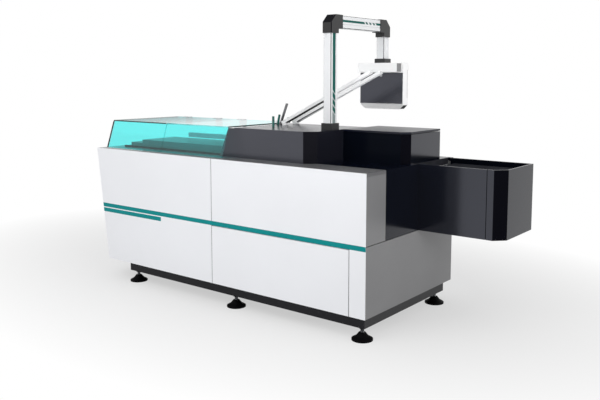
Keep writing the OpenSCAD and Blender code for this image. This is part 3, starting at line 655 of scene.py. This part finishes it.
bm = bmesh.new()
for x, side in ((case_low.x, -1), (case_high.x, 1)):
    corner = Vector((x, case_low.y + GASKET_BACK, case_low.z + GASKET_LOW))
    plate(bm, corner, Y * GASKET_W, Z * (GASKET_HIGH - GASKET_LOW), X * side * GASKET_T)
piece("panel_gasket", bm, grey_paint, "control_panel")


# Carton magazine: dark strips under the lower half of both rails, rollers under the far one

STRIP_T = 4 * MM
STRIP_INSET = 0.5 * MM
STRIP_CLEAR = 2 * MM
STRIP_SHARE = 0.5
STRIP_SOFT = 0.4 * MM
ROLLER_PITCH = 17 * MM
ROLLER_L = 30 * MM
ROLLER_R = 4.5 * MM
ROLLER_END_R = 3.6 * MM
ROLLER_EDGE = 1 * MM

chain_black = coat("chain_black", (0.004, 0.004, 0.005), 0.4, specular=0.05, mottle=0.2, grain=700.0)
chain_steel = brushed("chain_steel", (0.5, 0.51, 0.52), 0.3, (300, 8, 300))
along_rail = Vector((math.cos(RAIL_SLOPE), 0, math.sin(RAIL_SLOPE)))
under_rail = Vector((math.sin(RAIL_SLOPE), 0, -math.cos(RAIL_SLOPE)))
roller = [(ROLLER_END_R, -ROLLER_L / 2), (ROLLER_R, ROLLER_EDGE - ROLLER_L / 2),
          (ROLLER_R, ROLLER_L / 2 - ROLLER_EDGE), (ROLLER_END_R, ROLLER_L / 2)]
start = SEAT_L / math.cos(RAIL_SLOPE) + STRIP_CLEAR
half = Y * (RAIL_W / 2 - STRIP_INSET)
for rail in ("near", "far"):
    low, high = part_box("magazine_rail_" + rail)
    foot = Vector((low.x + RAIL_H * math.sin(RAIL_SLOPE), (low.y + high.y) / 2, low.z))
    length = (high.x - foot.x) / math.cos(RAIL_SLOPE) * STRIP_SHARE - start
    first = foot + along_rail * start
    bm = bmesh.new()
    plate(bm, first - half, along_rail * length, half * 2, under_rail * STRIP_T)
    piece("rail_strip_" + rail, bm, chain_black, "base", STRIP_SOFT)
    if rail == "far":
        bm = bmesh.new()
        for i in range(int(length / ROLLER_PITCH)):
            at = first + along_rail * (i + 0.5) * ROLLER_PITCH + under_rail * STRIP_T
            lathe(bm, roller, at, Y, steps=10)
        piece("rail_rollers", bm, chain_steel, "base")


# Sleeves over the two guide pins

SLEEVE_R = 8 * MM
SLEEVE_ROUND = 2 * MM
SLEEVE_BEND = SLEEVE_ROUND / 3
SLEEVE_UP = 1.5 * MM

pin_low, pin_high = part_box("guide_pins")
upright_foot = Vector((pin_high.x - PIN_R, pin_low.y + PIN_R, pin_low.z))
leaning_foot = Vector((pin_low.x + PIN_R / math.cos(PIN_LEAN), pin_high.y - PIN_R, pin_low.z))
bm = bmesh.new()
for foot, lean in ((upright_foot, 0.0), (leaning_foot, PIN_LEAN)):
    axis = Vector((math.sin(lean), 0, math.cos(lean)))
    top = PIN_H / math.cos(lean) + SLEEVE_UP
    sleeve = [(SLEEVE_R, SLEEVE_R * math.tan(lean)), (SLEEVE_R, top - SLEEVE_ROUND),
              (SLEEVE_R - SLEEVE_BEND, top - SLEEVE_BEND), (SLEEVE_R - SLEEVE_ROUND, top)]
    lathe(bm, sleeve, foot, axis, steps=20)
piece("pin_sleeves", bm, green_pin, "base")


# Track under the guard: transport chain that runs in front of the bed

CHAIN_W = 12 * MM
CHAIN_H = 13 * MM
CHAIN_OFF = 40 * MM
CHAIN_END = 6 * MM
LINK_PITCH = 16 * MM
LINK_GAP = 3 * MM
LINK_T = 3 * MM
LINK_L = LINK_PITCH - LINK_GAP / 2
LINK_BEVEL = LINK_GAP / 2
LINK_RISE = 2.6 * MM
CORE_R = 3 * MM
CORE_INSET = 1 * MM

link = [(0, LINK_RISE), (LINK_BEVEL, 0), (LINK_L - LINK_BEVEL, 0), (LINK_L, LINK_RISE),
        (LINK_L, CHAIN_H - LINK_RISE), (LINK_L - LINK_BEVEL, CHAIN_H), (LINK_BEVEL, CHAIN_H),
        (0, CHAIN_H - LINK_RISE)]
bed_low, bed_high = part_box("track_bed")
chain_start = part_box("guard_left_end")[1].x + CHAIN_END
bm = bmesh.new()
for i in range(int((bed_high.x - chain_start) / LINK_PITCH)):
    low = Vector((chain_start + i * LINK_PITCH, bed_low.y - CHAIN_OFF - CHAIN_W, bed_low.z))
    for corner in (low, low + Y * (CHAIN_W - LINK_T)):
        prism(bm, [corner + X * x + Z * z for x, z in link], Y * LINK_T)
    core = low + Vector((LINK_PITCH / 2, CORE_INSET, CHAIN_H / 2))
    lathe(bm, [(CORE_R, 0), (CORE_R, CHAIN_W - 2 * CORE_INSET)], core, Y, steps=10)
piece("track_chain", bm, chain_black, "base")


# Guard: clear seal in the split between its halves, dark trim along the front pane's left edge

SPLIT_SEAL_W = 4.5 * MM
SPLIT_TINT = (0.32, 0.88, 0.88)
TRIM_W = 6 * MM
TRIM_SOFT = 0.8 * MM

split_glass = glass("split_glass", SPLIT_TINT)
trim_rubber = coat("trim_rubber", (0.004, 0.022, 0.021), 0.5, specular=0.1, mottle=0.1, grain=600.0)


def pane_profile(x, low, high):
    """Corners of the leaning front pane's section at x, from its box."""
    return [Vector((x, low.y, low.z)), Vector((x, low.y + PANE_DEPTH, low.z)),
            Vector((x, high.y, high.z)), Vector((x, high.y - PANE_DEPTH, high.z))]


pane_low, pane_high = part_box("guard_left_front")
top_low, top_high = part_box("guard_left_top")
corner = Vector((top_high.x, top_low.y + PANE_DEPTH, top_low.z))
bm = bmesh.new()
prism(bm, pane_profile(pane_high.x, pane_low, pane_high), X * SPLIT_SEAL_W)
plate(bm, corner, Y * (top_high.y - corner.y), Z * (top_high.z - top_low.z), X * SPLIT_SEAL_W)
piece("guard_split_seal", bm, split_glass, "guard_left")
bm = bmesh.new()
prism(bm, pane_profile(pane_low.x, pane_low, pane_high), -X * TRIM_W)
piece("guard_left_trim", bm, trim_rubber, "guard_left", TRIM_SOFT)


# Infeed: a dark rubber plate on the deck's edge at the trough's mouth, painted shade over that face

MOUTH_SHADE_T = 3 * MM
MOUTH_SHADE_H = 40 * MM
MOUTH_SHADE_SOFT = 0.8 * MM

deck_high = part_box("deck_plate")[1]
mouth_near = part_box("infeed_front_wall")[1].y
mouth_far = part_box("infeed_rear_wall")[0].y
corner = Vector((deck_high.x - PANEL_T, mouth_near, deck_high.z - MOUTH_SHADE_H))
bm = bmesh.new()
plate(bm, corner, Y * (mouth_far - mouth_near), Z * MOUTH_SHADE_H, X * MOUTH_SHADE_T)
piece("infeed_mouth_shade", bm, belt_rubber, "base", MOUTH_SHADE_SOFT)


# Levelling feet: screw threads on the stems

THREAD_PITCH = 2.5 * MM
THREAD_OUT = 0.8 * MM

for row in ("front", "rear"):
    low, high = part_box("feet_" + row)
    thread = []
    height = HUB_TOP
    while height < high.z - NUT_H:
        thread.append((STEM_D / 2 - SINK, height))
        thread.append((STEM_D / 2 + THREAD_OUT, height + THREAD_PITCH / 2))
        height += THREAD_PITCH
    bm = bmesh.new()
    for x in (low.x + FOOT_D / 2, (low.x + high.x) / 2, high.x - FOOT_D / 2):
        lathe(bm, thread, Vector((x, (low.y + high.y) / 2, 0)), Z, steps=20)
    piece("foot_threads_" + row, bm, steel, "base")


# Guard hinges: screws on the leaves and feet

SCREW_R = 4.5 * MM
SCREW_H = 2.6 * MM
SCREW_IN = 12 * MM
SCREW_APART = 26 * MM
# A screw head from its edge over the crown into the socket, as shares of its radius and height
SCREW_SHARES = ((1, 0.6), (0.8, 1), (0.5, 1), (0.45, 0.4), (0.05, 0.4))

screw = [(SCREW_R, -SINK)] + [(SCREW_R * out, SCREW_H * up) for out, up in SCREW_SHARES]
foot_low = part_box("guard_hinge_feet")[0]
feet_bm = bmesh.new()
for guard in ("guard_left", "guard_right"):
    low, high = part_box(guard + "_hinges")
    leaf_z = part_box(guard + "_top")[1].z + HINGE_T
    bm = bmesh.new()
    for middle in (low.x + HINGE_W / 2, high.x - HINGE_W / 2):
        for x in (middle - SCREW_APART / 2, middle + SCREW_APART / 2):
            lathe(bm, screw, Vector((x, low.y + SCREW_IN, leaf_z)), Z, steps=18)
            foot_at = Vector((x, foot_low.y + HINGE_T, foot_low.z + SCREW_IN))
            lathe(feet_bm, screw, foot_at, Y, steps=18)
    piece(guard + "_screws", bm, pale_steel, guard)
piece("hinge_foot_screws", feet_bm, steel, "base")


# Camera, light and floor

def make_camera():
    data = bpy.data.cameras.new("photo_camera")
    data.sensor_width = CAMERA_SENSOR
    data.lens = CAMERA_LENS
    data.shift_y = CAMERA_SHIFT
    made = bpy.data.objects.new("photo_camera", data)
    made.location = CAMERA_AT
    made.rotation_euler = (math.pi / 2 - CAMERA_DOWN, 0, CAMERA_TURN)
    bpy.context.scene.collection.objects.link(made)
    bpy.context.scene.camera = made


def seen_plainly(tree):
    """1 for rays from the camera, in mirrors and through glass, 0 for light on surfaces."""
    rays = add(tree, "ShaderNodeLightPath").outputs
    either = calc(tree, "MAXIMUM", rays["Is Camera Ray"], rays["Is Glossy Ray"])
    return calc(tree, "MAXIMUM", either, rays["Is Transmission Ray"])


def make_world():
    world = bpy.data.worlds.new("studio")
    world.use_nodes = True
    tree = world.node_tree
    back = tree.nodes["Background"]
    back.inputs["Color"].default_value = WHITE
    tree.links.new(remap(tree, seen_plainly(tree), 0, 1, SKY_LIGHT, 1.0), back.inputs["Strength"])
    bpy.context.scene.world = world


def make_lamp(name, at, aim, size, power, spread_angle=math.pi):
    data = bpy.data.lights.new(name, "AREA")
    data.shape = "SQUARE"
    data.size = size
    data.energy = power
    data.spread = spread_angle
    made = bpy.data.objects.new(name, data)
    made.location = at
    made.rotation_euler = (Vector(aim) - Vector(at)).to_track_quat("-Z", "Y").to_euler()
    made.visible_camera = False
    made.visible_glossy = False
    bpy.context.scene.collection.objects.link(made)


def make_floor():
    bm = bmesh.new()
    bmesh.ops.create_circle(bm, cap_ends=True, radius=FLOOR_RADIUS, segments=FLOOR_SEGMENTS)
    mesh = bpy.data.meshes.new("floor")
    bm.to_mesh(mesh)
    bm.free()
    made = bpy.data.objects.new("floor", mesh)
    bpy.context.scene.collection.objects.link(made)
    material, tree, shader, place = new_material("floor_white")
    clouds = noise(tree, place["Object"], scale=1.2, detail=3.0)
    tree.links.new(mix(tree, clouds, FLOOR_DARK, FLOOR_PALE), shader.inputs["Base Color"])
    shader.inputs["Roughness"].default_value = FLOOR_ROUGH
    shader.inputs["Specular IOR Level"].default_value = FLOOR_GLOSS
    # Painted shadow: to camera, glossy and transmission rays the floor glows grey in an oval around the
    # part and white further out, over a share of its real shading
    oval = {"Vector": place["Object"], "Scale": FLOOR_OVAL, "Location": FLOOR_SHIFT}
    flat = add(tree, "ShaderNodeMapping", oval).outputs["Vector"]
    away = add(tree, "ShaderNodeVectorMath", {0: flat}, operation="LENGTH").outputs["Value"]
    far = remap(tree, away, FLOOR_NEAR, FLOOR_FAR, 0, 1)
    tone = mix(tree, far, (FLOOR_SHADOW_TONE, FLOOR_SHADOW_TONE, FLOOR_SHADOW_TONE, 1), WHITE)
    plain = add(tree, "ShaderNodeEmission", {"Color": tone, "Strength": 1.0}).outputs[0]
    factor = calc(tree, "MULTIPLY", remap(tree, far, 0, 1, FLOOR_PLAIN, 1), seen_plainly(tree))
    both = add(tree, "ShaderNodeMixShader", {0: factor, 1: shader.outputs[0], 2: plain}).outputs[0]
    tree.links.new(both, tree.nodes["Material Output"].inputs["Surface"])
    mesh.materials.append(material)


make_camera()
make_world()
make_lamp("key", KEY_AT, KEY_AIM, KEY_SIZE, KEY_POWER)
make_lamp("fill", FILL_AT, FILL_AIM, FILL_SIZE, FILL_POWER)
make_lamp("upper", UPPER_AT, UPPER_AIM, UPPER_SIZE, UPPER_POWER, UPPER_SPREAD)
make_floor()
bpy.context.scene.view_settings.view_transform = "Standard"
